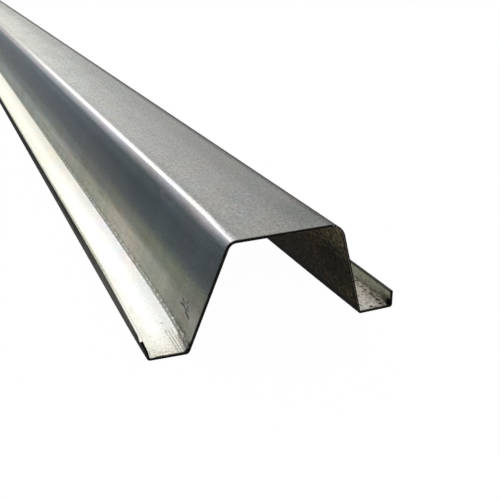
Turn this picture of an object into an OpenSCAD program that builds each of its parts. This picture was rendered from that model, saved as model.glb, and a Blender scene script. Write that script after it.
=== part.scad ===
// Omega profile: one strip of galvanised sheet, cold formed into a hat section with two lipped feet.
// Millimetres. The length runs along Y, the section lies in XZ, and the feet stand on Z = 0.

/* [Section] */
// Height from the underside of the feet to the top of the crown
height = 40; // [30:1:60]
// Width of the crown, between the sharp corners of its outer faces
crown_w = 44; // [36:1:52]
// Width over both lips
overall_w = 100; // [96:1:120]
// Width of one foot, from the sharp corner under the web to the outer face of the lip
foot_w = 15; // [12:0.5:18]
// Height of a lip, from the underside of the foot
lip_h = 7.5; // [5:0.5:15]

/* [Sheet] */
// Thickness of the sheet
sheet_t = 1; // [0.6:0.1:2]
// Inner radius of the bends beside the crown
crown_r = 5; // [1:0.5:6]
// Inner radius of the bends between web and foot
foot_r = 0.6; // [0.3:0.1:2]
// Inner radius of the bends between foot and lip
lip_r = 0.5; // [0.3:0.1:2]

/* [Stock] */
// Length of the bar as sold
length = 2000; // [1000:100:6000]

/* [Hidden] */

// Flat facets that stand for the curve of one bend.
bend_facets = 10;

// The web's underside rises from the foot's sharp corner, and its upper face, one sheet away, meets
// the crown's sharp corner, which lies web_reach nearer to the middle.
foot_corner_x = overall_w / 2 - foot_w;
web_reach = foot_corner_x - crown_w / 2;
web_lean = atan2(web_reach, height) + asin(sheet_t / norm([web_reach, height]));

// A web bend turns the sheet from level to the web's slope, and a lip bend stands it upright.
web_turn = 90 - web_lean;
lip_turn = 90;

// Distance from the sharp corner of a face to where its curve begins.
function setback(radius, turn) = radius * tan(turn / 2);

// The radii of each bend on the underside of the sheet and on its upper side.
crown_radii = [crown_r, crown_r + sheet_t];
foot_radii = [foot_r + sheet_t, foot_r];
lip_radii = [lip_r + sheet_t, lip_r];

// Bend centres of the right half. The crown bends curve about a centre below the sheet, the others above.
crown_centre = [
    foot_corner_x - (height - sheet_t) * tan(web_lean) - setback(crown_r, web_turn),
    height - sheet_t - crown_r
];
foot_centre = [foot_corner_x + setback(foot_r + sheet_t, web_turn), sheet_t + foot_r];
lip_centre = [overall_w / 2 - sheet_t - lip_r, sheet_t + lip_r];

// Points on a bend, from the angle start through turn, counted anticlockwise from +X.
function bend(centre, radius, start, turn) = [
    for (i = [0:bend_facets])
        let (angle = start + turn * i / bend_facets)
        centre + radius * [cos(angle), sin(angle)]
];

// One side of the sheet's right half, from the crown to the lip's edge: 0 is the underside, 1 the upper side.
function half_side(side) = concat(
    bend(crown_centre, crown_radii[side], 90, -web_turn),
    bend(foot_centre, foot_radii[side], 180 + web_lean, web_turn),
    bend(lip_centre, lip_radii[side], -90, lip_turn),
    [[overall_w / 2 - side * sheet_t, lip_h]]
);

function reversed(points) = [for (i = [len(points) - 1:-1:0]) points[i]];
function mirrored(points) = [for (p = reversed(points)) [-p.x, p.y]];

// Both halves of a side, from the left lip's edge to the right one's.
function full_side(side) = concat(mirrored(half_side(side)), half_side(side));

module section() {
    polygon(concat(full_side(1), reversed(full_side(0))));
}

module omega_profile() {
    color([0.66, 0.68, 0.68])
        rotate([90, 0, 0])
        linear_extrude(height = length, center = true)
        section();
}

omega_profile();
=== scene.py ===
"""Omega profile: a length of galvanised hat section with two lipped feet, and its pale studio.

Metres throughout. The length runs along Y, the section lies in XZ and the feet stand on the floor at Z = 0.
"""

import functools
import math
from types import SimpleNamespace

import bpy
import numpy as np
from bpy.props import FloatProperty, FloatVectorProperty, IntProperty, PointerProperty
from mathutils import Matrix, Vector


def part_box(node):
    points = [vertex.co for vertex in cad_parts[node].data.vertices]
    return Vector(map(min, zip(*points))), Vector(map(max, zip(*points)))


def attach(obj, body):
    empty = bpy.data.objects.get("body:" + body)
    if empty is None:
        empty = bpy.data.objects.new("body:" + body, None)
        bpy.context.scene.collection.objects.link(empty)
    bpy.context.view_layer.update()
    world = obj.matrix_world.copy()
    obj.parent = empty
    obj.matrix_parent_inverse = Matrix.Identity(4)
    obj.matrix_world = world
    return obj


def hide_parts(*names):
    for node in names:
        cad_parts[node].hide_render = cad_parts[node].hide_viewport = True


bl_info = {
    "name": "Omega profile",
    "version": (1, 0, 0),
    "blender": (4, 5, 0),
    "location": "3D View > Sidebar > Omega profile",
    "description": "Rolls a galvanised omega profile to the sizes given and lays it in a pale studio",
    "category": "Object",
}

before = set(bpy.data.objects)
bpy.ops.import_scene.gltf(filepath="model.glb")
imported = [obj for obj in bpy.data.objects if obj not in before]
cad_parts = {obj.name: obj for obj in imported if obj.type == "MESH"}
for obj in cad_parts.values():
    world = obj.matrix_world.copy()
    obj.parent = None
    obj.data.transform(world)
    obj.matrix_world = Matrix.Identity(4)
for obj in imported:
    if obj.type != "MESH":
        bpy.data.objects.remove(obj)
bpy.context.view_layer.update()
NODE = "omega_profile"
LOWEST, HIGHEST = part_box(NODE)
MM = 0.001
MATT = {"Roughness": 1.0, "Specular IOR Level": 0.0}


# ---------------------------------------------------------------- sizes and colours

def length_of(name, text, value, low=0.0):
    """A property in metres that Blender shows as a length."""
    return FloatProperty(name=name, description=text, default=value, min=low, precision=4, unit="LENGTH")


def angle_of(name, text, degrees):
    """An angle property, given here in degrees."""
    return FloatProperty(name=name, description=text, default=math.radians(degrees), subtype="ANGLE")


def number_of(name, text, value, **settings):
    """A plain number from nothing upwards."""
    return FloatProperty(name=name, description=text, default=value, min=0.0, **settings)


def share_of(name, text, value):
    """A property from nothing to all."""
    return FloatProperty(name=name, description=text, default=value, min=0.0, max=1.0, subtype="FACTOR")


def colour_of(name, text, value):
    """A colour property, written as the linear values that the shader gets."""
    settings = {"min": 0.0, "max": 1.0, "size": 3, "subtype": "COLOR"}
    return FloatVectorProperty(name=name, description=text, default=value, **settings)


class OmegaSection(bpy.types.PropertyGroup):
    """The rolled section and the piece of it that is cut off."""

    length: length_of("Length", "Length of the piece", HIGHEST.y - LOWEST.y, 0.1)
    height: length_of("Height", "Floor to the top of the crown", HIGHEST.z - LOWEST.z, 0.02)
    overall: length_of("Overall width", "Across both lips", HIGHEST.x - LOWEST.x, 0.06)
    crown: length_of("Crown width", "Across the crown at its top bends, were they sharp", 0.044, 0.02)
    foot: length_of("Foot width", "Each foot from the web to the outside of its lip", 0.015, 0.008)
    lip: length_of("Lip height", "Floor to the top of each lip", 0.0075, 0.003)
    sheet: length_of("Sheet thickness", "Thickness of the galvanised sheet", 0.001, 0.0004)
    crown_bend: length_of("Crown bend", "Inside radius of the two top bends", 0.005, 0.0003)
    foot_bend: length_of("Foot bend", "Inside radius where web and foot meet", 0.0006, 0.0002)
    lip_bend: length_of("Lip bend", "Inside radius where foot and lip meet", 0.0005, 0.0002)
    slit_edge: length_of("Slit edge", "How far the shears rounded the edges of the strip", 0.00012, 0.00002)
    tight_bend: length_of("Tight bend", "Inside radius that the left top bend has at the cuts", 0.003)
    wide_bend: length_of("Wide bend", "Inside radius of the right top bend", 0.0064)
    sharp_lip: length_of("Sharp lip bend", "Inside radius of the right lip bend", 0.0001)


class OmegaForming(bpy.types.PropertyGroup):
    """What rolling and cutting did to the true section."""

    rings: IntProperty(name="Rings", description="Sections along the length", default=240, min=20, max=400)
    crowding: share_of("Crowding", "How far the rings gather towards the two cut ends", 0.94)
    left_lip: angle_of("Left lip flare", "How far the left lip springs open at the cut", 15.4)
    right_lip: angle_of("Right lip flare", "How far the right lip springs open at the cut", -5.6)
    lip_reach: length_of("Lip flare reach", "Distance over which the lips come true again", 0.028, 0.001)
    left_foot: angle_of("Left foot lift", "How far the left foot lifts at the cut", 3.3)
    foot_reach: length_of("Foot lift reach", "Distance over which that foot lies flat again", 0.012, 0.001)
    web_spread: angle_of("Web spread", "How far the webs spring open at the cut", 0.25)
    web_reach: length_of("Web spread reach", "Distance over which the webs come true again", 0.2, 0.001)
    tight_reach: length_of("Tight bend reach", "Distance over which the bends come true", 0.028, 0.001)
    waviness: length_of("Waviness", "Most that the rolled sheet waves out of its plane", 0.00012)
    left_drop: length_of("Left drop", "How far the crown sags by its left bend", 0.00036)
    right_drop: length_of("Right drop", "How far the crown sags by its right bend", 0.00009)
    left_bend: length_of("Left bend shift", "How far the left top bend lies nearer the middle", 0.00047)
    right_bend: length_of("Right bend shift", "How far the right top bend lies further out", 0.00018)
    left_fold: length_of("Left fold shift", "How far in the left fold lies away from the cut", 0.0026)
    left_fold_reach: length_of("Left fold reach", "Distance over which it moves in", 0.022, 0.001)
    right_fold: length_of("Right fold shift", "How far in the right fold lies at the cut", 0.0008)
    right_fold_on: length_of("Right fold drift", "How much further in it lies away from the cut", 0.0012)
    right_fold_reach: length_of("Right fold reach", "Distance over which it moves in", 0.06, 0.001)
    fold_rise: length_of("Right fold rise", "How far the right fold stands off the floor", 0.0003)
    right_low: length_of("Right lip trim", "How much lower the right lip is", 0.0003)
    trim_reach: length_of("Lip trim reach", "How far down the lip the trim draws it", 0.004, 0.001)
    hook: length_of("Lip hook", "How far the top corner of the left lip is knocked out", 0.0004)
    snip: length_of("Lip snip", "How far the shears set that corner back", 0.0014)
    snip_down: length_of("Snip down", "How far down the lip that corner reaches", 0.0035, 0.0005)
    snip_along: length_of("Snip along", "How far along the lip that corner reaches", 0.0065, 0.0005)
    cut_tear: length_of("Cut tear", "Unevenness of the two cut faces", 0.00012)
    tear_reach: length_of("Tear reach", "How far from the cut the tearing reaches", 0.0004, 0.0001)
    seed: IntProperty(name="Seed", description="Picks the waves and the tearing", default=4, min=0)


class OmegaZinc(bpy.types.PropertyGroup):
    """Colours and finish of the galvanised sheet, with painted light, shade and reflections among the
    colours.
    """

    zinc: colour_of("Zinc", "Clean zinc coat in the middle of the crown", (0.225, 0.227, 0.217))
    # Painted light and shade: the crown's zinc is lighter by its left bend and darker by its right one.
    zinc_left: colour_of("Zinc at the left", "The coat by the crown's left bend", (0.26, 0.262, 0.247))
    zinc_right: colour_of("Zinc at the right", "The coat by the crown's right bend", (0.165, 0.17, 0.158))
    # Painted dark reflection: the right bend is painted dull grey, darker where it turns down, with little
    # metal.
    rubbed: colour_of("Rubbed bend", "Dull grey of the right bend", (0.21, 0.21, 0.205))
    rubbed_dark: colour_of("Dull bend", "Darker grey where the right bend turns down", (0.075, 0.075, 0.07))
    polish: colour_of("Polished bend", "Zinc that the rolls polished on the left bend", (0.29, 0.29, 0.28))
    # Painted highlight: a pale lilac glow below the polished left bend, beside the lamp's own highlight.
    glow: colour_of("Bend glow", "Lilac zinc below the polish of the left bend", (0.47, 0.46, 0.475))
    # Painted reflection: the webs are blue-grey, darkest in their middle and pale low down, standing for
    # what they mirror.
    web_top: colour_of("Web top", "Zinc of the webs right below the top bends", (0.28, 0.315, 0.34))
    web_zinc: colour_of("Web zinc", "Blue zinc high on the webs", (0.255, 0.273, 0.282))
    web_deep: colour_of("Deep web", "Darkest zinc in the middle of the webs", (0.18, 0.194, 0.198))
    web_low: colour_of("Low web", "Zinc where the chalk begins on the webs", (0.28, 0.30, 0.268))
    bloom: colour_of("Bloom", "Chalky zinc low on the webs", (0.40, 0.425, 0.375))
    # Painted light: both feet are painted pale, as if lit much brighter than the crown of the same zinc.
    foot_zinc: colour_of("Foot zinc", "Pale zinc of the left foot", (0.88, 0.88, 0.85))
    foot_right: colour_of("Right foot zinc", "Duller zinc of the right foot", (0.90, 0.88, 0.79))
    lip_zinc: colour_of("Lip zinc", "Zinc inside the lips", (0.36, 0.37, 0.30))
    # Painted shade and dark reflection: the outside of the lips is near black.
    lip_outer: colour_of("Lip outside", "Zinc outside the lips", (0.05, 0.048, 0.042))
    # The chalky zinc in the next line is the painted reflection of the feet low on the webs.
    tan: colour_of("Tan stain", "Brown that runs along the chalky zinc", (0.30, 0.24, 0.15))
    cream: colour_of("Cream stain", "Warm cast of the foot by the cut and the lip", (0.82, 0.79, 0.67))
    dirt: colour_of("Dirt", "Dark dirt in scratches, nicks and corners", (0.03, 0.027, 0.022))
    bead: colour_of("Bead", "Bright dots that the rolls pressed beside the fold", (0.95, 0.95, 0.90))
    # Painted shade: the skin under the section is near black; the olive patches below are its stains.
    under: colour_of("Under skin", "Stained zinc under the section", (0.009, 0.0065, 0.0015))
    olive: colour_of("Olive stain", "Paler patches under the section", (0.095, 0.083, 0.046))
    # Painted shade: the cut faces are near black for bare steel in shade; the same black serves several
    # dark marks.
    cut: colour_of("Cut face", "Bare steel of the two cut faces", (0.004, 0.0035, 0.003))
    grain: length_of("Grain", "Size of one zinc crystal", 0.0009, 0.0001)
    roughness: share_of("Roughness", "Roughness of the clean zinc", 0.27)
    # The chalky and stained zinc in the next line are the painted foot reflection low on the webs and the
    # painted shade under the section.
    gloss: share_of("Gloss", "Mirror gloss of the chalky and stained zinc", 0.02)


class OmegaStudio(bpy.types.PropertyGroup):
    """Floor, lamps and camera."""

    floor: colour_of("Floor", "Colour of the plain floor", (0.97, 0.97, 0.97))
    floor_size: length_of("Floor size", "Side of the square floor", 60.0, 1.0)
    world: number_of("World", "Strength of the even light all round", 0.85)
    softbox: number_of("Softbox", "Brightness of the long softboxes", 2.2)
    softbox_behind: share_of("Softbox behind", "Power of the rear softbox, where the other has 1", 0.5)
    softbox_width: length_of("Softbox width", "Across each softbox", 2.54, 0.1)
    softbox_length: length_of("Softbox length", "Along each softbox", 13.4, 0.1)
    softbox_away: length_of("Softbox distance", "From the further cut to the middle of each softbox", 10.3)
    softbox_height: length_of("Softbox height", "Floor to the softboxes", 3.6)
    softbox_right: length_of("Softbox shift", "How far the softboxes hang to the right", 0.64)
    floor_white: share_of("Floor white", "How far the floor shows plain white", 0.985)
    card_gap: length_of("Card gap", "From the left lip to the dark card", 0.03, 0.005)
    card_height: length_of("Card height", "Height of the dark card's front end", 0.19, 0.005)
    card_low: length_of("Card low end", "Height of the dark card's back end", 0.05, 0.005)
    card_before: length_of("Card start", "How far the dark card stands out before the near cut", 0.5)
    card_beyond: length_of("Card end", "How far it reaches past the near cut", 1.5)
    card_plain: share_of("Card plain share", "How far up the dark card's cloth is plain", 0.25)
    dark_card: colour_of("Dark card", "Cloth of the card beside the left lip", (0.30, 0.335, 0.35))
    grey_card: colour_of("Grey card", "Cloth of the card far ahead", (0.44, 0.42, 0.385))
    grey_away: length_of("Grey card distance", "From the near cut to the grey card", 8.0)
    grey_width: length_of("Grey card width", "Across the grey card", 12.0)
    grey_rise: angle_of("Grey card rise", "How high the grey card stands above the level", 10.5)
    lens: number_of("Lens", "Focal length of the camera", 46.0, unit="CAMERA")
    eye_left: length_of("Camera shift", "How far the camera stands to the left", 0.10064)
    eye_before: length_of("Camera distance", "How far the camera stands before the near cut", 0.17064)
    eye_height: length_of("Camera height", "Floor to the camera", 0.12461)
    yaw: angle_of("Camera yaw", "How far the camera looks to the right of the length", 26.98402)
    pitch: angle_of("Camera pitch", "How far the camera looks down", 24.96091)
    roll: angle_of("Camera roll", "How far the camera leans to the left", 2.58977)


# ---------------------------------------------------------------- node helpers

class Value:
    """A node's output that can be reckoned with: each sign makes a Math node in its tree."""

    def __init__(self, tree, socket):
        self.tree, self.socket = tree, socket

    def __neg__(self):
        return maths("MULTIPLY", self, -1.0)

    def __abs__(self):
        return maths("ABSOLUTE", self)

    def __rsub__(self, other):
        return maths("SUBTRACT", other, self)


SIGNS = {
    "__add__": "ADD", "__radd__": "ADD", "__sub__": "SUBTRACT", "__truediv__": "DIVIDE",
    "__mul__": "MULTIPLY", "__rmul__": "MULTIPLY", "__lt__": "LESS_THAN", "__gt__": "GREATER_THAN",
}
for sign, operation in SIGNS.items():
    setattr(Value, sign, lambda self, other, operation=operation: maths(operation, self, other))


def tree_of(values):
    """The tree of the first Value among several values."""
    return next(value.tree for value in values if isinstance(value, Value))


def join(value, socket):
    """Feeds a socket from a Value, or sets it to a plain value."""
    if isinstance(value, Value):
        value.tree.links.new(value.socket, socket)
    elif value is not None:
        if socket.type == "RGBA":
            value = (value,) * 3 if isinstance(value, float) else tuple(value)
            value = (*value, 1.0)
        socket.default_value = value


def node(tree, kind, *values, out=0, **settings):
    """A node whose inputs are fed in order, None leaving one alone; gives one output, or all by name."""
    made = tree.nodes.new(kind)
    for name, value in settings.items():
        setattr(made, name, value)
    for value, socket in zip(values, [s for s in made.inputs if s.enabled]):
        join(value, socket)
    found = {socket.name: Value(tree, socket) for socket in made.outputs if socket.enabled}
    return found if out is None else list(found.values())[out]


def feed(made, values):
    """Feeds a node's inputs by their names."""
    for name, value in values.items():
        join(value, made.inputs[name])


def maths(operation, *values, clamp=False):
    """One Math node."""
    return node(tree_of(values), "ShaderNodeMath", *values, operation=operation, use_clamp=clamp)


def vector(*parts):
    """Three numbers made a vector."""
    return node(tree_of(parts), "ShaderNodeCombineXYZ", *parts)


def linear(value, low, high, to_low=0.0, to_high=1.0, how="LINEAR"):
    """value from low to high, made a number from to_low to to_high."""
    return node(value.tree, "ShaderNodeMapRange", value, low, high, to_low, to_high, interpolation_type=how)


def rising(value, low, high, to_low=0.0, to_high=1.0):
    """0 up to low, 1 from high on, and smooth between, or the two numbers given."""
    return linear(value, low, high, to_low, to_high, "SMOOTHSTEP")


def fading(value, low, high):
    """1 up to low, 0 from high on, and smooth between."""
    return rising(value, low, high, 1.0, 0.0)


def band(value, low, high, soft):
    """1 between low and high, with soft edges."""
    return rising(value, low - soft, low + soft) * fading(value, high - soft, high + soft)


def sway(value, amount):
    """value from 0 to 1 made a sway of amount around nothing."""
    return maths("MULTIPLY_ADD", value, amount, -0.5 * amount)


def vectors(operation, *values):
    """One Vector Math node."""
    return node(tree_of(values), "ShaderNodeVectorMath", *values, operation=operation)


def noise(where, scale, detail=2.0, rough=0.5):
    """A noise of scale waves a metre, from 0 to 1."""
    return node(where.tree, "ShaderNodeTexNoise", where, scale, detail, rough)


def mix(share, a, b, kind="FLOAT", **settings):
    """a where share is 0 and b where it is 1."""
    return node(tree_of((share, a, b)), "ShaderNodeMix", share, a, b, data_type=kind, **settings)


def blend(share, a, b, how="MIX"):
    """One colour where share is 0 and another where it is 1."""
    return mix(share, a, b, "RGBA", blend_type=how)


def highest(values):
    """The highest of several values."""
    return functools.reduce(lambda a, b: maths("MAXIMUM", a, b), values)


def colours(value, stops):
    """A soft colour ramp with (place, colour) stops; a stop may also be a plain number."""
    made = value.tree.nodes.new("ShaderNodeValToRGB")
    ramp = made.color_ramp
    ramp.interpolation = "EASE"
    while len(ramp.elements) < len(stops):
        ramp.elements.new(0.5)
    for element, (place, colour) in zip(ramp.elements, stops):
        element.position = place
        element.color = (*colour, 1.0) if isinstance(colour, tuple) else (colour, colour, colour, 1.0)
    join(value, made.inputs[0])
    return Value(value.tree, made.outputs[0])


def seen_directly(tree):
    """1 for rays that see the background itself: from the camera, in gloss and through glass."""
    rays = node(tree, "ShaderNodeLightPath", out=None)
    return highest([rays["Is Camera Ray"], rays["Is Glossy Ray"], rays["Is Transmission Ray"]])


# ---------------------------------------------------------------- section

def on_arc(centre, radius, angle):
    """The point of an arc that lies at an angle."""
    return centre[0] + radius * math.cos(angle), centre[1] + radius * math.sin(angle)


def stations(s, crown_bend=None, lip_bend=None):
    """The right half of the strip, from the middle of the crown to the lip's edge.

    Each row is x and z of the upper skin, x and z of the under skin, distance across the flat strip, and
    how far the crown, foot and lip bends have turned by then.
    """
    crown_bend = s.crown_bend if crown_bend is None else crown_bend
    lip_bend = s.lip_bend if lip_bend is None else lip_bend
    foot_x = s.overall / 2 - s.foot
    reach = foot_x - s.crown / 2
    lean = math.atan2(reach, s.height) + math.asin(s.sheet / math.hypot(reach, s.height))
    turn = math.pi / 2 - lean
    crown_c = (
        foot_x - (s.height - s.sheet) * math.tan(lean) - crown_bend * math.tan(turn / 2),
        s.height - s.sheet - crown_bend,
    )
    foot_c = (foot_x + (s.foot_bend + s.sheet) * math.tan(turn / 2), s.sheet + s.foot_bend)
    lip_c = (s.overall / 2 - s.sheet - lip_bend, s.sheet + lip_bend)
    bends = [
        (crown_c, crown_bend + s.sheet, crown_bend, math.pi / 2, -turn, 14),
        (foot_c, s.foot_bend, s.foot_bend + s.sheet, math.pi + lean, turn, 8),
        (lip_c, lip_bend, lip_bend + s.sheet, -math.pi / 2, math.pi / 2, 8),
    ]
    rows, across = [(0.0, s.height, 0.0, s.height - s.sheet, 0.0, 0, 0, 0)], 0.0

    def flat_to(upper, under, steps):
        nonlocal across
        last = rows[-1]
        run = math.hypot(upper[0] - last[0], upper[1] - last[1])
        for i in range(1, steps + 1):
            t = i / steps
            point = [last[k] + (v - last[k]) * t for k, v in enumerate((*upper, *under))]
            rows.append((*point, across + run * t, *last[5:]))
        across += run

    for k, (centre, upper_r, under_r, start, angle, steps) in enumerate(bends):
        flat_to(on_arc(centre, upper_r, start), on_arc(centre, under_r, start), (7, 12, 6)[k])
        run = (upper_r + under_r) / 2 * abs(angle)
        for i in range(1, steps + 1):
            t, a = i / steps, start + angle * i / steps
            turned = [1.0] * k + [t] + [0.0] * (2 - k)
            skins = (*on_arc(centre, upper_r, a), *on_arc(centre, under_r, a))
            rows.append((*skins, across + run * t, *turned))
        across += run
    flat_to((s.overall / 2 - s.sheet, s.lip - s.slit_edge), (s.overall / 2, s.lip - s.slit_edge), 4)
    return rows, (crown_c, foot_c, lip_c)


def strip_marks(rows):
    """Where the three bends of the right half start and end, measured across the flat strip."""
    ends = []
    for turned in (5, 6, 7):
        ends.append(max(row[4] for row in rows if row[turned] == 0))
        ends.append(min(row[4] for row in rows if row[turned] == 1))
    names = ("crown_edge", "web_top", "web_end", "foot_in", "foot_out", "lip_in")
    return SimpleNamespace(**dict(zip(names, ends)), half_strip=rows[-1][4])


SECTION_VALUES = (
    "across", "up", "cut_across", "cut_up", "strip", "skin",
    "out_x", "out_z", "crown_turn", "foot_turn", "lip_turn",
)


def section_loop(s):
    """The closed outline of the section as a mesh of edges, with what the rules need stored on its points.

    Each point also carries its place at the cut ends, where the left top bend is tighter.
    """
    rows, centres = stations(s)
    tight, wide = stations(s, s.tight_bend)[0], stations(s, s.wide_bend, s.sharp_lip)[0]
    halves = {-1: list(zip(rows, rows, tight)), 1: list(zip(rows, wide, wide))}
    points = []

    def add(station, skin, side):
        row, away, cut = station
        i = 0 if skin else 2
        dx, dz = away[0] - away[2], away[1] - away[3]
        size = math.hypot(dx, dz)
        places = (*away[i:i + 2], *cut[i:i + 2], side * row[4], skin)
        points.append((*places, dx / size, dz / size, *row[5:], side))

    def add_slit_edge(side, order):
        row = rows[-1]
        for share, skin in order:
            x = row[2] + (row[0] - row[2]) * share
            places = (x, s.lip, x, s.lip, side * (row[4] + s.slit_edge), skin)
            points.append((*places, 0.0, 1.0, *row[5:], side))

    rounding = s.slit_edge / s.sheet
    for station in reversed(halves[-1][1:]):
        add(station, 1.0, -1)
    for station in halves[1]:
        add(station, 1.0, 1)
    add_slit_edge(1, ((1 - rounding, 1.0), (rounding, 0.9)))
    for station in reversed(halves[1][1:]):
        add(station, 0.0, 1)
    for station in halves[-1]:
        add(station, 0.0, -1)
    add_slit_edge(-1, ((rounding, 0.9), (1 - rounding, 1.0)))
    table = np.array(points)
    mesh = bpy.data.meshes.new("section")
    count = len(table)
    corners = [(p[-1] * p[0], 0.0, p[1]) for p in points]
    mesh.from_pydata(corners, [(i, (i + 1) % count) for i in range(count)], [])
    for name, values in zip(SECTION_VALUES, table.T):
        mesh.attributes.new(name, "FLOAT", "POINT").data.foreach_set("value", values.astype(np.float32))
    return mesh, centres, strip_marks(rows)


# ---------------------------------------------------------------- rolling rule

SOCKETS = {
    int: "NodeSocketInt", float: "NodeSocketFloat", tuple: "NodeSocketVector",
    bpy.types.Material: "NodeSocketMaterial",
}


def rolling_rule(values):
    """Geometry Nodes tree that sweeps the section along the length and springs its cut ends.

    The values name its inputs, apart from the section's loop.
    """
    tree = bpy.data.node_groups.new("rolled_strip", "GeometryNodeTree")
    face = tree.interface
    face.new_socket("Section", in_out="INPUT", socket_type="NodeSocketGeometry")
    for name, value in values.items():
        face.new_socket(name.replace("_", " ").title(), in_out="INPUT", socket_type=SOCKETS[type(value)])
    face.new_socket("Profile", in_out="OUTPUT", socket_type="NodeSocketGeometry")
    loop, *rest = [Value(tree, socket) for socket in tree.nodes.new("NodeGroupInput").outputs]
    given = SimpleNamespace(**dict(zip(values, rest)))

    def stored(name):
        return node(tree, "GeometryNodeInputNamedAttribute", name, data_type="FLOAT")

    # the path: rings gather towards both cut ends
    line = node(tree, "GeometryNodeCurvePrimitiveLine", (0, 0, 0), (0, 1, 0), mode="POINTS")
    path = node(tree, "GeometryNodeResampleCurve", line, None, given.rings + 1.0)
    run = node(tree, "GeometryNodeSplineParameter")
    wave = maths("SINE", run * (2 * math.pi)) / (2 * math.pi)
    along = (run - wave * given.crowding - 0.5) * (given.half_length * 2.0)
    kept = {"data_type": "FLOAT", "domain": "POINT"}
    path = node(tree, "GeometryNodeStoreNamedAttribute", path, None, "along", along, **kept)
    swept = tree.nodes.new("GeometryNodeCurveToMesh")
    outline = node(tree, "GeometryNodeMeshToCurve", loop)
    feed(swept, {"Curve": path, "Profile Curve": outline, "Fill Caps": True})

    along, strip = stored("along"), stored("strip")
    side = maths("SIGN", strip)
    right = side > 0.0
    to_near, to_far = given.half_length + along, given.half_length - along

    def near_ends(reach):
        """1 at each cut end, dying away over reach."""
        return maths("EXPONENT", -to_near / reach) + maths("EXPONENT", -to_far / reach)

    # sheet waves: the two skins move together, along the sheet's own normal
    seed = given.seed * 3.7
    slow = noise(vector(strip * 14.0, along * 2.6, seed), 1.0, 2.0, 0.45) - 0.5
    quick = (noise(vector(strip * 40.0, along * 12.0, seed), 1.0, 1.0, 0.4) - 0.5) * 0.3
    lift = (slow + quick) * given.waviness
    tight = fading(maths("MINIMUM", to_near, to_far), 0.0, given.tight_reach)
    x = stored("out_x") * lift + mix(tight, stored("across"), stored("cut_across"))
    z = stored("out_z") * lift + mix(tight, stored("up"), stored("cut_up"))

    # the crown sags and sits a little to the right; away from the cuts the folds lie nearer the middle
    reach = abs(strip)
    climb, rise = linear(reach, 0.0, given.web_top), linear(reach, given.web_top, given.web_end)
    high = 1.0 - rise
    x = x + climb * high * mix(right, -given.left_bend, given.right_bend)
    by_fold = rise * linear(reach, given.foot_in, given.foot_out, 1.0, 0.0)
    soon = (1.0 - near_ends(given.left_fold_reach)) * given.left_fold
    gently = (1.0 - near_ends(given.right_fold_reach)) * given.right_fold_on + given.right_fold
    x = x - by_fold * mix(right, soon, gently)
    edge = given.half_strip - reach
    lower = right * given.right_low * fading(edge, 0.0, given.trim_reach)
    drop = mix(linear(strip, -given.web_top, given.web_top), given.left_drop, given.right_drop)
    z = z - (high * drop + lower) + by_fold * right * given.fold_rise

    # spring of the cut ends, worked on the right half and mirrored
    point = vector(x, 0.0, z)
    hinges = (
        (given.lip_centre, mix(right, given.left_lip, given.right_lip), "lip_turn", given.lip_reach),
        (given.foot_centre, mix(right, -given.left_foot, 0.0), "foot_turn", given.foot_reach),
        (given.crown_centre, -given.web_spread, "crown_turn", given.web_reach),
    )
    for centre, angle, turned, over in hinges:
        turn = angle * stored(turned) * near_ends(over)
        point = node(tree, "ShaderNodeVectorRotate", point, centre, turn, rotation_type="Y_AXIS")
    placed = node(tree, "ShaderNodeSeparateXYZ", point, out=None)

    # the knocked corner of the left lip, at the near end only, and the torn cut faces
    corner = fading(edge, 0.0, given.snip_down) * fading(to_near, 0.0, given.snip_along) * (1.0 - right)
    x = placed["X"] + corner * given.hook
    grit = noise(vector(strip * 900.0, 0.0, seed), 1.0, 2.0, 0.6) - 0.5
    at_cut = near_ends(given.tear_reach) * (grit * given.cut_tear)
    y = along + corner * given.snip + at_cut * maths("SIGN", along)

    made = Value(tree, swept.outputs[0])
    made = node(tree, "GeometryNodeSetPosition", made, None, vector(x * side, y, placed["Z"]))
    for name in SECTION_VALUES:
        if name not in ("strip", "skin"):
            made = node(tree, "GeometryNodeRemoveAttribute", made, name)
    made = node(tree, "GeometryNodeSetShadeSmooth", made, None, True, domain="FACE")
    sharp = node(tree, "GeometryNodeInputMeshEdgeAngle") > math.radians(38)
    made = node(tree, "GeometryNodeSetShadeSmooth", made, sharp, False, domain="EDGE")
    made = node(tree, "GeometryNodeRealizeInstances", made)
    facing = node(tree, "ShaderNodeSeparateXYZ", node(tree, "GeometryNodeInputNormal"), out=1)
    under, cut = stored("skin") < 0.4, abs(facing) > 0.7
    coats = ((None, given.galvanised_skin), (under, given.stained_underside), (cut, given.cut_steel))
    for where, material in coats:
        made = node(tree, "GeometryNodeSetMaterial", made, where, material)
    join(made, tree.nodes.new("NodeGroupOutput").inputs[0])
    return tree


def run_rule(name, mesh, tree, values):
    """Runs a rule on a mesh and gives back a plain mesh object with no modifier left."""
    scene = bpy.context.scene
    maker = bpy.data.objects.new(name + "_maker", mesh)
    scene.collection.objects.link(maker)
    modifier = maker.modifiers.new("rule", "NODES")
    modifier.node_group = tree
    sockets = [item for item in tree.interface.items_tree if item.in_out == "INPUT"]
    for socket, value in zip(sockets[1:], values.values()):
        modifier[socket.identifier] = value
    depsgraph = bpy.context.evaluated_depsgraph_get()
    depsgraph.update()
    ready = maker.evaluated_get(depsgraph)
    made = bpy.data.meshes.new_from_object(ready, preserve_all_data_layers=True, depsgraph=depsgraph)
    bpy.data.objects.remove(maker)
    bpy.data.meshes.remove(mesh)
    bpy.data.node_groups.remove(tree)
    made.name = name
    piece = bpy.data.objects.new(name, made)
    scene.collection.objects.link(piece)
    return piece


# ---------------------------------------------------------------- finish

def new_material(name):
    """An empty material with a Principled shader, and its tree."""
    material = bpy.data.materials.new(name)
    material.use_nodes = True
    return material, material.node_tree, material.node_tree.nodes["Principled BSDF"]


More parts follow.
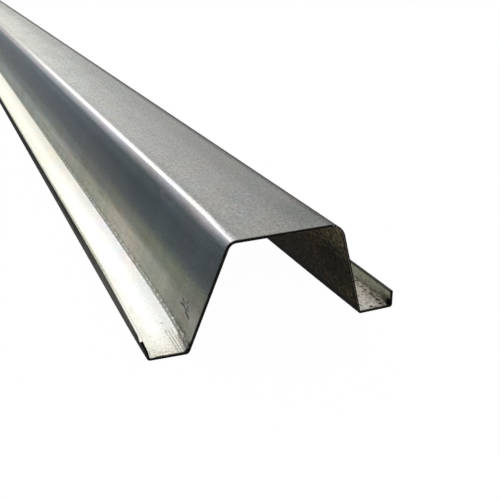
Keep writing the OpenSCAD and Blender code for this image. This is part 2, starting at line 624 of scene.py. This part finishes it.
def skin_zones(z, marks):
    """Place across, colour, metal share and added roughness of the upper skin, from left to right."""
    edge, top, end = marks.crown_edge, marks.web_top, marks.web_end
    # painted reflection down the webs: blue-grey at the top, darkest in the middle, pale low down for the
    # feet
    web = [
        (top, z.web_top, 1.0, -0.01),
        (top + 0.0065, z.web_zinc, 1.0, -0.03),
        (end - 0.0220, z.web_deep, 1.0, -0.03),
        (end - 0.0150, z.web_low, 0.68, 0.085),
        (end - 0.0080, z.bloom, 0.35, 0.2),
        (end - 0.0025, z.bloom, 0.35, 0.2),
        (end, z.bloom, 0.35, 0.2),
    ]
    left = [
        (0.0, z.zinc, 1.0, 0.0),
        (edge - 0.0045, z.zinc_left, 1.0, 0.0),
        (edge, z.zinc, 1.0, -0.03),
        (edge + 0.0017, z.polish, 1.0, -0.06),
        (edge + 0.0030, z.glow, 1.0, -0.06),
        (edge + 0.0047, z.glow, 1.0, -0.04),
        *web,
        (marks.foot_in, z.foot_zinc, 0.5, 0.1),
        (marks.foot_out, z.foot_zinc, 0.5, 0.1),
        (marks.lip_in, z.lip_zinc, 0.5, 0.1),
    ]
    right = [
        (edge - 0.006, z.zinc_right, 1.0, 0.0),
        (edge - 0.0012, z.zinc_right, 1.0, 0.0),
        (edge, z.rubbed, 0.1, 0.3),
        (edge + 0.0006, z.rubbed, 0.1, 0.3),
        (edge + 0.0012, z.rubbed_dark, 0.1, 0.3),
        (edge + 0.0035, z.rubbed_dark, 0.1, 0.3),
        *web,
        (marks.foot_in, z.foot_right, 0.5, 0.1),
        (marks.foot_out, z.foot_right, 0.5, 0.1),
        (marks.lip_in, z.lip_zinc, 0.5, 0.1),
    ]
    return [(-place, *rest) for place, *rest in reversed(left)] + right


# distances from the near cut between which the zinc and its painted light change evenly
STATIONS = (0.0, 0.02, 0.04, 0.09, 0.16, 0.26, 0.42, 0.60, 0.85)


def slow_changes(marks):
    """How the painted light, shade and reflections of the upper skin change along the length: paler, darker
    or bluer.

    Each row is side, across from, to, and steps, each of them along from, to, and the light that it brings.
    """
    edge, top, end = marks.crown_edge, marks.web_top, marks.web_end
    return (
        ("both", 0.0, edge, (0.16, 0.26, (0.98, 1.03, 1.01))),
        ("both", 0.0, edge + 0.0006, (0.42, 0.85, (0.77, 0.75, 0.67))),
        ("left", 0.005, edge, (0.26, 0.60, (1.06, 1.02, 0.94))),
        ("right", 0.009, edge + 0.0035, (0.42, 0.85, (0.35, 0.35, 0.35))),
        ("left", edge + 0.001, edge + 0.002,
         (0.26, 0.42, (0.80, 0.80, 0.78)), (0.42, 0.85, (1.15, 1.15, 1.12))),
        ("left", edge + 0.002, top - 0.001,
         (0.02, 0.04, (0.70, 0.72, 0.74)), (0.09, 0.16, (1.35, 1.35, 1.35)),
         (0.42, 0.85, (1.25, 1.25, 1.20))),
        ("left", edge + 0.002, edge + 0.0035, (0.26, 0.42, (1.25, 1.24, 1.20))),
        ("both", top - 0.001, top + 0.001,
         (0.0, 0.04, (0.90, 0.97, 0.94)), (0.04, 0.09, (0.86, 0.85, 0.84)),
         (0.09, 0.16, (0.93, 0.95, 1.00)), (0.16, 0.26, (1.06, 1.14, 1.25)),
         (0.26, 0.42, (0.93, 0.94, 0.89))),
        ("both", top + 0.005, end - 0.020,
         (0.0, 0.02, (0.74, 0.83, 0.83)), (0.02, 0.04, (0.69, 0.76, 0.79)),
         (0.04, 0.09, (0.66, 0.675, 0.72)), (0.09, 0.16, (0.89, 0.90, 0.965)),
         (0.16, 0.26, (0.98, 1.00, 1.12))),
        ("both", end - 0.023, end - 0.021, (0.16, 0.26, (0.84, 0.88, 0.90))),
        ("both", end - 0.016, end - 0.014,
         (0.04, 0.09, (1.00, 0.97, 1.06)), (0.09, 0.16, (0.86, 0.84, 0.94)),
         (0.16, 0.26, (0.95, 1.05, 1.12))),
        ("both", end - 0.009, end - 0.002,
         (0.0, 0.02, (0.87, 0.86, 0.86)), (0.02, 0.04, (1.36, 1.33, 1.28)),
         (0.04, 0.09, (1.36, 1.33, 1.28)), (0.09, 0.16, (0.80, 0.82, 0.84)),
         (0.16, 0.26, (1.03, 1.06, 1.16)), (0.26, 0.42, (0.88, 0.92, 0.98))),
        ("both", marks.foot_in, marks.foot_out, (0.09, 0.26, (0.82, 0.81, 0.72))),
    )


def changed(colour, place, distance, rows):
    """A colour of the skin as it is at a distance from the near cut."""
    side = "left" if place < 0 else "right"
    for which, low, high, *steps in rows:
        if which in ("both", side) and low <= abs(place) <= high:
            for start, finish, light in steps:
                share = min(max((distance - start) / (finish - start), 0.0), 1.0)
                colour = [part * (1.0 + share * (new - 1.0)) for part, new in zip(colour, light)]
    return tuple(colour)


class Coat:
    """A finish being built up: colour, metal share, roughness and height in metres."""

    def __init__(self, colour, metal, rough):
        self.colour, self.metal, self.rough, self.height = colour, metal, rough, 0.0

    def lay(self, mask, colour, metal=None, rough=None, lift=None):
        """Lays another finish over this one where mask is 1."""
        self.colour = blend(mask, self.colour, colour)
        if metal is not None:
            self.metal = mix(mask, self.metal, metal)
        if rough is not None:
            self.rough = mix(mask, self.rough, rough)
        if lift is not None:
            self.raise_by(mask, lift)

    def shade(self, light, mask=1.0):
        """Multiplies the colour by a number or a colour where mask is 1."""
        self.colour = blend(mask, self.colour, light, "MULTIPLY")

    def raise_by(self, pattern, height):
        """Adds a pattern to the height."""
        self.height = maths("MULTIPLY_ADD", pattern, height, self.height)


def sheet_places(tree, marks):
    """Where a point lies on the flat strip, how far from the cuts, and the marks across the strip."""
    along = node(tree, "ShaderNodeSeparateXYZ", node(tree, "ShaderNodeTexCoord", out=3), out=1)
    strip = node(tree, "ShaderNodeAttribute", attribute_name="strip", out=2)
    near = along + marks.half_length
    return SimpleNamespace(
        **vars(marks), strip=strip, along=along, near=near, reach=abs(strip),
        skin=node(tree, "ShaderNodeAttribute", attribute_name="skin", out=2),
        left=strip < 0.0, right=strip > 0.0, end=marks.half_length - abs(along),
        across=linear(strip, -marks.half_strip, marks.half_strip), spot=vector(strip, near, 0.0),
    )


def flat_noise(at, across, along, detail=2.0, rough=0.5, shift=0.0):
    """A noise over the flat strip, with so many waves a metre across and along it."""
    layer = maths("MULTIPLY_ADD", at.skin, 3.1, shift)
    return noise(vector(at.strip * across, at.along * along, layer), 1.0, detail, rough)


def stroke(at, ends, width):
    """1 on a straight scratch by the near cut: strip and distance from the cut, twice, in millimetres."""
    x0, y0, x1, y1 = (value * MM for value in ends)
    run = (x1 - x0, y1 - y0, 0.0)
    away = vectors("SUBTRACT", at.spot, (x0, y0, 0.0))
    share = maths("DIVIDE", vectors("DOT_PRODUCT", away, run), run[0] ** 2 + run[1] ** 2, clamp=True)
    gap = vectors("DISTANCE", away, vector(share * run[0], share * run[1], 0.0))
    return fading(gap, 0.2 * width * MM, width * MM)


def spot_of(at, place, size, stretch=1.0):
    """1 at a soft round spot by the near cut, placed and sized in millimetres."""
    away = vectors("SUBTRACT", at.spot, (place[0] * MM, place[1] * MM, 0.0))
    away = vectors("MULTIPLY", away, (1.0, 1.0 / stretch, 0.0))
    return fading(vectors("LENGTH", away), 0.0, size * MM)


def zinc_grain(at, coat, z):
    """Crystals, grit, clouds and rolling streaks in the zinc, fainter on the smooth webs."""
    strength = mix(band(at.reach, at.crown_edge + 0.001, at.web_end - 0.004, 0.002), 1.0, 0.4)
    strength = mix(band(at.strip, -at.foot_out, -at.foot_in, 0.001), strength, 0.25)
    where = vector(at.strip / z.grain, at.along / (z.grain * 1.6), at.skin * 7.0)
    cells = node(where.tree, "ShaderNodeTexVoronoi", where, 1.0, out=1)
    crystal = node(where.tree, "ShaderNodeSeparateColor", cells)
    grit = flat_noise(at, 1250.0, 560.0, 2.0, 0.7)
    cloud = flat_noise(at, 60.0, 30.0, 4.0, 0.62, 5.0)
    streak = flat_noise(at, 800.0, 9.0, 3.0, 0.6, 9.0)
    light = (sway(crystal, 0.24) + sway(grit, 1.3)) * strength
    drift = (sway(cloud, 0.36) + sway(streak, 0.22)) * rising(at.reach, at.web_end, at.foot_in, 1.0, 0.35)
    coat.shade(light + drift + 1.0)
    warmth = rising(flat_noise(at, 70.0, 45.0, 3.0, 0.55, 14.0), 0.3, 0.7)
    coat.shade(blend(warmth, (0.96, 1.0, 1.03), (1.04, 1.0, 0.96)))
    coat.shade((1.05, 0.965, 1.04), rising(flat_noise(at, 45.0, 28.0, 2.0, 0.5, 21.0), 0.5, 0.72))
    coat.rough = coat.rough + (sway(crystal, 0.06) + sway(cloud, 0.10)) * strength
    coat.raise_by(crystal * strength, 0.0000015)
    coat.raise_by(grit * strength, 0.000004)
    coat.raise_by(streak, 0.000002)


def web_marks(at, coat, z):
    """Soft bands of painted reflection down the webs and brown streaks low on them, where the feet's
    reflection is painted.
    """
    middle = band(at.reach, at.web_top + 0.002, at.web_end - 0.013, 0.004) * rising(at.near, 0.12, 0.28)
    coat.metal = maths("MULTIPLY_ADD", middle, -0.26, coat.metal)
    # painted reflection: soft light and dark bands running down the webs
    bands = sway(flat_noise(at, 22.0, 150.0, 2.0, 0.5, 31.0), 0.30)
    coat.shade(band(at.reach, at.web_top, at.web_end, 0.001) * bands + 1.0)
    low = band(at.reach, at.web_end - 0.017, at.web_end - 0.004, 0.003)
    brown = rising(flat_noise(at, 330.0, 26.0, 3.0, 0.6, 37.0), 0.50, 0.72)
    coat.lay(low * brown * 0.5, z.tan, rough=0.5)
    coat.shade((1.05, 1.09, 0.94), band(at.reach, at.web_end - 0.021, at.web_end - 0.013, 0.003))


def fold_marks(at, coat, z):
    """Pressed beads beside each fold, a paler band along each fold as painted reflection of the foot, a
    fine line beside each lip and painted shade on the left foot beside its lip.
    """
    wander = at.reach + sway(noise(vector(at.along, 0.0, 0.0), 160.0, 1.0), 0.0003)
    # painted reflection: a paler band along each fold, where the bright foot would show
    paler = band(wander, at.web_end - 0.0005, at.web_end + 0.0004, 0.0004)
    coat.lay(paler * 0.6, (0.60, 0.61, 0.59), rough=0.5)
    dots = rising(flat_noise(at, 1.0, 420.0, 1.0, 0.5, 43.0), 0.44, 0.58)
    line = band(wander, at.web_end - 0.0012, at.web_end - 0.0006, 0.0002)
    coat.lay(line * dots, z.bead, 0.0, 0.4, 0.00002)
    broken = rising(flat_noise(at, 1.0, 260.0, 2.0, 0.6, 47.0), 0.40, 0.55)
    for low, high, share in ((0.0005, 0.0003, 0.2), (0.0024, 0.0016, 0.35)):
        groove = band(wander, at.web_end - low, at.web_end - high, 0.0002)
        coat.lay(groove * broken * share, z.dirt, rough=0.6, lift=-0.00002)
    beside = band(wander, at.foot_out - 0.0006, at.foot_out - 0.0003, 0.0002)
    specks = rising(flat_noise(at, 1.0, 350.0, 2.0, 0.6, 53.0), 0.45, 0.6)
    coat.lay(beside * specks * 0.5, z.dirt, rough=0.6, lift=-0.00002)
    # painted shade: the left foot darker and spotty beside its lip
    lip_side_shade = at.left * band(at.reach, at.foot_out - 0.004, at.foot_out + 0.002, 0.002)
    spotty = flat_noise(at, 500.0, 160.0, 3.0, 0.7, 55.0)
    coat.shade(sway(spotty, 0.7) + 0.84, lip_side_shade)
    coat.lay(band(at.reach, at.foot_out - 0.003, at.foot_out + 0.001, 0.0015) * 0.4, z.cream)


# strokes by the near cut: from strip and distance to strip and distance, then width, all in millimetres
WEB_SCRATCHES = (
    (-53.5, 8.0, -53.1, 11.9, 0.75), (-53.2, 11.8, -52.6, 11.2, 0.6), (-51.5, 10.0, -52.5, 13.2, 0.45),
    (-51.3, 11.2, -51.0, 11.8, 0.6), (-50.7, 13.5, -49.4, 12.8, 0.5), (-52.3, 13.2, -52.0, 14.3, 0.6),
    (-51.9, 15.0, -52.4, 18.0, 0.75), (-51.0, 15.0, -50.4, 17.4, 0.6),
)
FOLD_GROOVES = (
    (-59.3, 3.0, -61.1, 6.2, 0.6), (-59.2, 5.6, -58.9, 7.4, 1.0), (-59.0, 7.5, -59.1, 12.0, 0.5),
    (-59.3, 14.8, -59.2, 16.4, 0.5),
)
FOLD_DASHES = (
    (-59.5, 7.9, -59.9, 9.0, 0.4), (-59.5, 19.3, -60.4, 21.5, 0.45), (-62.6, 4.5, -62.5, 4.9, 0.4),
)
# fine rolled lines on the left foot: place across the strip in metres, whether bright, and strength
FOOT_LINES = (
    (-0.0650, False, 0.75), (-0.0644, True, 0.9), (-0.0640, False, 0.8),
    (-0.0634, True, 0.9), (-0.0629, False, 0.85), (-0.0625, True, 0.5),
)
# painted highlight and shade in bands along the left bend by the near cut: across from and to in metres,
# and their light
BEND_HIGHLIGHTS = (
    (0.0200, 0.0208, 1.35), (0.0188, 0.0196, 0.78), (0.0171, 0.0183, 1.45), (0.0230, 0.0250, 1.3),
)


def near_cut_marks(at, coat, z):
    """Scratches, dirt and stains of the upper skin by the near cut, with painted highlight and shade along
    the left bend and painted light on the left lip.
    """
    close = fading(at.near, 0.004, 0.022)
    on_foot = band(at.strip, -at.foot_out - 0.001, -at.foot_in, 0.0005)
    coat.lay(close * on_foot * 0.55, z.cream)
    coat.shade(0.90, close * band(at.reach, at.web_top, at.web_end, 0.001))
    for low, high, light in BEND_HIGHLIGHTS:
        coat.shade(light, close * band(at.strip, -high, -low, 0.0003))
    # painted light: the top of the left lip paler by the near cut
    lip = at.left * band(at.reach, at.lip_in + 0.0006, 0.1, 0.0005)
    coat.lay(lip * fading(at.near, 0.025, 0.06), (0.58, 0.57, 0.52))

    # the fold darker by the cut: blue grey first, tan further in, with fine rolled lines on the foot beside
    # it
    feather = rising(flat_noise(at, 700.0, 380.0, 3.0, 0.6, 61.0), 0.2, 0.5)
    corner = band(at.strip, -0.0629, -0.0608, 0.0004) * feather * 0.9
    coat.lay(corner * band(at.near, 0.0, 0.0068, 0.0012), (0.22, 0.23, 0.225), rough=0.5)
    coat.lay(corner * band(at.near, 0.0062, 0.0118, 0.0014), (0.37, 0.33, 0.27), rough=0.5)
    # darker blotches just above the left fold by the cut
    blotchy = rising(flat_noise(at, 420.0, 260.0, 4.0, 0.62, 65.0), 0.35, 0.65)
    below = band(at.strip, -at.web_end - 0.0002, -at.web_end + 0.0034, 0.0008) * at.left
    coat.lay(below * fading(at.near, 0.016, 0.030) * blotchy * 0.5, (0.14, 0.143, 0.132), rough=0.5)
    uneven = sway(noise(vector(0.0, at.near, 0.0), 300.0, 1.0), 0.00018)
    drawn = at.near * 0.05 + (at.strip + uneven)
    broken = rising(flat_noise(at, 1.0, 400.0, 2.0, 0.6, 63.0), 0.25, 0.55)
    for place, bright, share in FOOT_LINES:
        line = band(drawn, place - 0.00012, place + 0.00012, 0.00015)
        stain = z.bead if bright else z.dirt
        coat.lay(line * fading(at.near, 0.0115, 0.0185) * broken * share, stain, rough=0.5)

    ragged = rising(flat_noise(at, 900.0, 700.0, 2.0, 0.6, 67.0), 0.20, 0.50)
    grooved = highest(stroke(at, ends, width) for *ends, width in FOLD_GROOVES)
    coat.lay(grooved * ragged * 0.4, (0.03, 0.028, 0.025), 0.3, 0.6, -0.00001)
    dashed = highest(stroke(at, ends, width) for *ends, width in FOLD_DASHES)
    coat.lay(dashed * 0.7, z.bead, 0.2, 0.4, 0.00001)
    scratched = highest(stroke(at, ends, width) for *ends, width in WEB_SCRATCHES)
    coat.lay(scratched * ragged * 0.8, (0.028, 0.028, 0.024), 0.3, 0.55, -0.00001)

    # smudge beside the polished bend, nicks on the foot, dark patches in the fold's corner at the cut, and
    # dirt along the foot's cut
    coat.lay(spot_of(at, (-24.6, 55.0), 3.0, 4.0) * ragged * 0.6, (0.06, 0.04, 0.03), 0.4, 0.5)
    nicks = highest(spot_of(at, place, 0.7, 1.6) for place in ((-72.9, 1.1), (-65.5, 14.7), (-65.4, 20.8)))
    coat.lay(nicks * 0.35, z.dirt, rough=0.6)
    corner_dark = highest((spot_of(at, (-61.8, 0.0), 2.2, 1.1), spot_of(at, (-59.8, 0.0), 3.6, 1.2) * 0.5))
    coat.lay(rising(corner_dark * feather, 0.1, 0.5), z.dirt, 0.2, 0.7)
    speck = rising(flat_noise(at, 1700.0, 1200.0, 2.0, 0.6, 69.0), 0.48, 0.62)
    coat.lay(speck * rising(at.near, 0.0, 0.009, 0.65, 0.0) * on_foot, (0.16, 0.13, 0.10), rough=0.6)
    specked = rising(flat_noise(at, 1100.0, 700.0, 2.0, 0.6, 70.0), 0.58, 0.68)
    coat.lay(specked * rising(at.near, 0.01, 0.03, 0.3, 0.0) * on_foot, (0.36, 0.33, 0.27))

    # crown: a dull cloud to the right and a rosy one in the middle
    coat.shade((0.30, 0.42, 0.32), spot_of(at, (15.0, 13.0), 11.0, 1.7) * 0.36)
    coat.shade((1.16, 1.02, 0.98), spot_of(at, (-6.5, 28.0), 4.0, 1.2) * 0.6)


def right_foot_marks(at, coat, z):
    """Grime on the right foot and in its lip by the near cut, and the dark edge of that lip."""
    out, lip = at.foot_out, at.lip_in
    close, nearest = at.right * fading(at.near, 0.010, 0.060), at.right * fading(at.near, 0.002, 0.010)
    on_foot = band(at.reach, at.foot_in, out + 0.0008, 0.0004)
    coat.shade(0.58, on_foot * at.right * fading(at.near, 0.006, 0.026))
    grime = flat_noise(at, 800.0, 430.0, 3.0, 0.65, 71.0)
    coat.lay(close * on_foot * rising(grime, 0.56, 0.64) * 0.75, (0.10, 0.095, 0.07), 0.2, 0.7)
    fine = flat_noise(at, 1500.0, 800.0, 2.0, 0.7, 72.0)
    coat.shade(close * sway(fine, 1.6) + 1.0)
    coat.lay(close * on_foot * fading(grime, 0.32, 0.42) * 0.6, (0.80, 0.78, 0.70), 0.4, 0.4)
    beside = close * band(at.reach, out - 0.0035, out + 0.0005, 0.0012)
    coat.lay(beside * rising(grime, 0.50, 0.58) * 0.85, z.dirt, 0.2, 0.7)
    nicks = highest(spot_of(at, place, 0.9, 1.6) for place in ((67.8, 1.6), (73.4, 5.2), (72.2, 2.2)))
    coat.lay(rising(nicks, 0.1, 0.5), z.dirt, 0.2, 0.7)
    seam = close * band(at.reach, out - 0.0005, lip + 0.0012, 0.0008)
    coat.lay(seam * rising(grime, 0.45, 0.62) * 0.8, (0.07, 0.06, 0.035), 0.1, 0.7)
    stained = nearest * band(at.reach, out - 0.0005, lip + 0.0028, 0.0012)
    coat.lay(stained * rising(grime, 0.35, 0.55, 0.45, 0.95), (0.030, 0.026, 0.017), 0.1, 0.7)
    black = at.right * band(at.reach, out - 0.001, lip + 0.002, 0.0006)
    coat.lay(black * fading(at.near, 0.0015, 0.0035), z.cut, 0.1, 0.7)
    coat.lay(at.right * rising(at.reach, 0.0815, 0.0820) * 0.9, (0.035, 0.034, 0.028), 0.1, 0.6)


def finished(coat_of, z, marks):
    """A material named after the function that lays its coat."""
    material, tree, shader = new_material(coat_of.__name__)
    coat = coat_of(z, sheet_places(tree, marks))
    bump = tree.nodes.new("ShaderNodeBump")
    feed(bump, {"Strength": 1.0, "Distance": 1.0, "Height": coat.height})
    feed(shader, {
        "Base Color": coat.colour, "Metallic": coat.metal, "Roughness": coat.rough,
        "Normal": Value(tree, bump.outputs[0]), "Specular IOR Level": z.gloss,
    })
    return material


def galvanised_skin(z, at):
    """The upper skin: grey crown, polished left bend, webs with painted dark reflection that turns to a
    painted reflection of the feet below, and feet painted pale as lit.
    """
    zones, rows = skin_zones(z, at), slow_changes(at)
    spots = [place / at.half_strip / 2 + 0.5 for place, *rest in zones]
    body = None
    for before, here in zip((None, *STATIONS), STATIONS):
        shown = [changed(colour, place, here, rows) for place, colour, metal, rough in zones]
        ramp = colours(at.across, list(zip(spots, shown)))
        body = ramp if before is None else blend(rising(at.near, before, here), body, ramp)
    metal = colours(at.across, [(spot, zone[2]) for spot, zone in zip(spots, zones)])
    rough = colours(at.across, [(spot, 0.5 + zone[3]) for spot, zone in zip(spots, zones)])
    coat = Coat(body, metal, rough + (z.roughness - 0.5))
    for marked in (zinc_grain, web_marks, fold_marks, near_cut_marks, right_foot_marks):
        marked(at, coat, z)
    # painted shade: a dark ragged rim along both cuts, left off on the flared left lip
    ragged = at.end + sway(flat_noise(at, 900.0, 300.0, 3.0, 0.6, 95.0), 0.0006)
    flared = at.left * rising(at.reach, at.foot_out - 0.002, at.foot_out - 0.001)
    coat.shade(0.15, maths("SUBTRACT", fading(ragged, 0.0003, 0.0007), flared, clamp=True))
    return coat


def stained_underside(z, at):
    """The skin under the section, stained and painted near black as shade, and the zinc outside the lips,
    painted near black as shade and dark reflection.
    """
    patch = flat_noise(at, 95.0, 95.0, 3.0, 0.6, 83.0)
    streak = flat_noise(at, 500.0, 25.0, 3.0, 0.6, 89.0)
    fine = flat_noise(at, 620.0, 480.0, 3.0, 0.75, 91.0)
    # painted shade: the stained skin is near black, lighter high on the webs and towards the near cut
    high = fading(at.reach, 0.024, 0.042) * rising(at.near, 0.02, 0.06, 0.70, 0.30)
    share = rising(patch, 0.30, 0.95, 0.02, 0.6) + high - spot_of(at, (41.0, 12.0), 15.0) * 0.4
    share = maths("ADD", share, sway(fine, 0.8), clamp=True)
    coat = Coat(blend(share, z.under, z.olive), 0.05, sway(patch, 0.3) + 0.62)
    coat.shade(maths("MAXIMUM", sway(streak, 0.2) + sway(fine, 10.0) + 1.0, 0.12))
    coat.shade((1.12, 0.96, 1.02), rising(flat_noise(at, 60.0, 60.0, 2.0, 0.5, 92.0), 0.45, 0.6))
    pits = rising(flat_noise(at, 420.0, 330.0, 1.0, 0.5, 93.0), 0.68, 0.74)
    coat.lay(pits * 0.8, (0.003, 0.003, 0.002), lift=-0.00001)
    # painted shadow: a near-black band under each foot bend, and near black by the cut
    coat.lay(band(at.reach, at.web_end - 0.0030, at.foot_in + 0.001, 0.0012), z.cut)
    coat.lay(rising(at.near, 0.0004, 0.0012, 0.85, 0.0), z.cut)
    # painted shade and dark reflection: the outside of the lips near black, darker still away from the near
    # cut
    outside = rising(at.reach, at.foot_out, at.lip_in)
    coat.lay(outside, blend(rising(streak, 0.35, 0.7), z.lip_outer, (0.09, 0.085, 0.072)))
    coat.shade(0.04, outside * rising(at.near, 0.12, 0.26))
    rolled = at.left * rising(at.reach, 0.0786, 0.0796) * rising(at.near, 0.06, 0.12)
    coat.lay(rolled * 0.8, z.cut)
    # painted shade: the outside of the left lip black by the near cut
    coat.lay(outside * at.left * fading(at.near, 0.008, 0.018), z.cut)
    coat.raise_by(fine, 0.000006)
    coat.raise_by(streak, 0.000002)
    return coat


def cut_steel(z, at):
    """Near-black steel of the two cut faces, bare steel painted dark as shade, browner in the middle of the
    sheet.
    """
    torn = flat_noise(at, 700.0, 1.0, 3.0, 0.65, 97.0)
    coat = Coat(z.cut, 0.0, 0.7)
    worn = at.right * fading(at.reach, at.web_end - 0.002, at.web_end)
    middle = band(at.skin, 0.15, 0.55, 0.12) * rising(torn, 0.35, 0.55)
    coat.lay(middle * mix(worn, 0.2, 0.85), (0.095, 0.078, 0.06))
    curl = band(at.strip, at.crown_edge - 0.001, at.crown_edge + 0.006, 0.001)
    coat.lay(curl * rising(torn, 0.52, 0.60), (0.15, 0.145, 0.13))
    coat.raise_by(torn, 0.00003)
    return coat


# ---------------------------------------------------------------- operators

class OMEGA_OT_profile(bpy.types.Operator):
    """Roll the omega profile and cut it to length"""

    bl_idname = "omega.roll_profile"
    bl_label = "Roll the profile"
    bl_options = {"REGISTER", "UNDO"}

    def execute(self, context):
        s, f, z = context.scene.omega_section, context.scene.omega_forming, context.scene.omega_zinc
        mesh, centres, marks = section_loop(s)
        marks.half_length = s.length / 2
        values = {name: getattr(f, name) for name in f.__annotations__}
        values.update(vars(marks))
        for name, centre in zip(("crown_centre", "foot_centre", "lip_centre"), centres):
            values[name] = (centre[0], 0.0, centre[1])
        for coat_of in (galvanised_skin, stained_underside, cut_steel):
            values[coat_of.__name__] = finished(coat_of, z, marks)
        piece = run_rule("rolled_profile", mesh, rolling_rule(values), values)
        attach(piece, "root")
        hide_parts(NODE)
        return {"FINISHED"}


def flat_piece(name, corners):
    """A four-cornered flat piece of the stage."""
    mesh = bpy.data.meshes.new(name)
    mesh.from_pydata(corners, [], [(0, 1, 2, 3)])
    piece = bpy.data.objects.new(name, mesh)
    bpy.context.scene.collection.objects.link(piece)
    return piece


def hang_card(name, corners, colour, plain=1.0):
    """A standing card that only shows in the gloss of the zinc; above its plain share it fades to white."""
    card = flat_piece(name, corners)
    rise = card.data.attributes.new("rise", "FLOAT", "POINT")
    rise.data.foreach_set("value", (0.0, 0.0, 1.0, 1.0))
    material, tree, shader = new_material(name + "_cloth")
    faded = rising(node(tree, "ShaderNodeAttribute", attribute_name="rise", out=2), plain, 1.0)
    feed(shader, {"Base Color": blend(faded, colour, 1.0), **MATT})
    card.data.materials.append(material)
    card.visible_camera = card.visible_diffuse = card.visible_shadow = card.visible_transmission = False


class OMEGA_OT_studio(bpy.types.Operator):
    """Lay the pale floor, hang the soft lamps and set the camera"""

    bl_idname = "omega.set_studio"
    bl_label = "Set the studio"
    bl_options = {"REGISTER", "UNDO"}

    def execute(self, context):
        scene = context.scene
        st = scene.omega_studio
        near = -scene.omega_section.length / 2
        half = st.floor_size / 2
        corners = [(-half, -half, 0), (half, -half, 0), (half, half, 0), (-half, half, 0)]
        floor = flat_piece("floor", corners)
        material, tree, shader = new_material("plain_floor")
        feed(shader, {"Base Color": st.floor, **MATT})
        white = node(tree, "ShaderNodeEmission", 1.0, 1.0)
        shown = seen_directly(tree) * st.floor_white
        lit = node(tree, "ShaderNodeMixShader", shown, Value(tree, shader.outputs[0]), white)
        feed(tree.nodes["Material Output"], {"Surface": lit})
        floor.data.materials.append(material)

        world = bpy.data.worlds.new("even_light")
        world.use_nodes = True
        strength = mix(seen_directly(world.node_tree), st.world, 1.0)
        feed(world.node_tree.nodes["Background"], {"Color": 1.0, "Strength": strength})
        scene.world = world

        away = st.softbox_away
        for name, y, power in (
            ("softbox_ahead", near + away, 1.0), ("softbox_behind", -near - away, st.softbox_behind),
        ):
            softbox = bpy.data.lights.new(name, "AREA")
            softbox.shape, softbox.size, softbox.size_y = "RECTANGLE", st.softbox_width, st.softbox_length
            softbox.energy = st.softbox * math.pi * softbox.size * softbox.size_y * power
            lamp = bpy.data.objects.new(name, softbox)
            scene.collection.objects.link(lamp)
            lamp.location = (st.softbox_right, y, st.softbox_height)
            lamp.visible_camera = False

        side = LOWEST.x - st.card_gap
        front, back = near - st.card_before, near + st.card_beyond
        dark = [(side, front, 0), (side, back, 0), (side, back, st.card_low), (side, front, st.card_height)]
        hang_card("dark_card", dark, st.dark_card, st.card_plain)
        wide, ahead, top = st.grey_width / 2, near + st.grey_away, st.grey_away * math.tan(st.grey_rise)
        grey = [(-wide, ahead, 0), (wide, ahead, 0), (wide, ahead, top), (-wide, ahead, top)]
        hang_card("grey_card", grey, st.grey_card)

        camera = bpy.data.cameras.new("camera")
        camera.lens, camera.sensor_width, camera.clip_start, camera.clip_end = st.lens, 36.0, 0.005, 100.0
        eye = bpy.data.objects.new("camera", camera)
        scene.collection.objects.link(eye)
        level = Vector((math.cos(st.yaw), -math.sin(st.yaw), 0.0))
        ahead = Vector((math.sin(st.yaw), math.cos(st.yaw), 0.0)) * math.cos(st.pitch)
        ahead.z = -math.sin(st.pitch)
        above = level.cross(ahead)
        across = level * math.cos(st.roll) + above * math.sin(st.roll)
        up = above * math.cos(st.roll) - level * math.sin(st.roll)
        turn = Matrix((across, up, -ahead)).transposed()
        place = (-st.eye_left, near - st.eye_before, st.eye_height)
        eye.matrix_world = Matrix.Translation(place) @ turn.to_4x4()
        scene.camera = eye
        scene.view_settings.view_transform = "Standard"
        return {"FINISHED"}


class OMEGA_PT_panel(bpy.types.Panel):
    """Sizes, finish and studio of the omega profile"""

    bl_label = "Omega profile"
    bl_idname = "OMEGA_PT_panel"
    bl_space_type = "VIEW_3D"
    bl_region_type = "UI"
    bl_category = "Omega profile"

    def draw(self, context):
        self.layout.operator(OMEGA_OT_profile.bl_idname)
        self.layout.operator(OMEGA_OT_studio.bl_idname)
        for name in GROUPS:
            group = getattr(context.scene, name)
            box = self.layout.box()
            box.label(text=name.removeprefix("omega_").title())
            for setting in group.__annotations__:
                box.prop(group, setting)


GROUPS = {
    "omega_section": OmegaSection,
    "omega_forming": OmegaForming,
    "omega_zinc": OmegaZinc,
    "omega_studio": OmegaStudio,
}
CLASSES = (*GROUPS.values(), OMEGA_OT_profile, OMEGA_OT_studio, OMEGA_PT_panel)


def register():
    for cls in CLASSES:
        bpy.utils.register_class(cls)
    for name, group in GROUPS.items():
        setattr(bpy.types.Scene, name, PointerProperty(type=group))


def unregister():
    for name in GROUPS:
        delattr(bpy.types.Scene, name)
    for cls in reversed(CLASSES):
        bpy.utils.unregister_class(cls)


def main():
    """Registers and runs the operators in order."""
    register()
    bpy.ops.omega.set_studio()
    bpy.ops.omega.roll_profile()


if __name__ == "__main__":
    main()
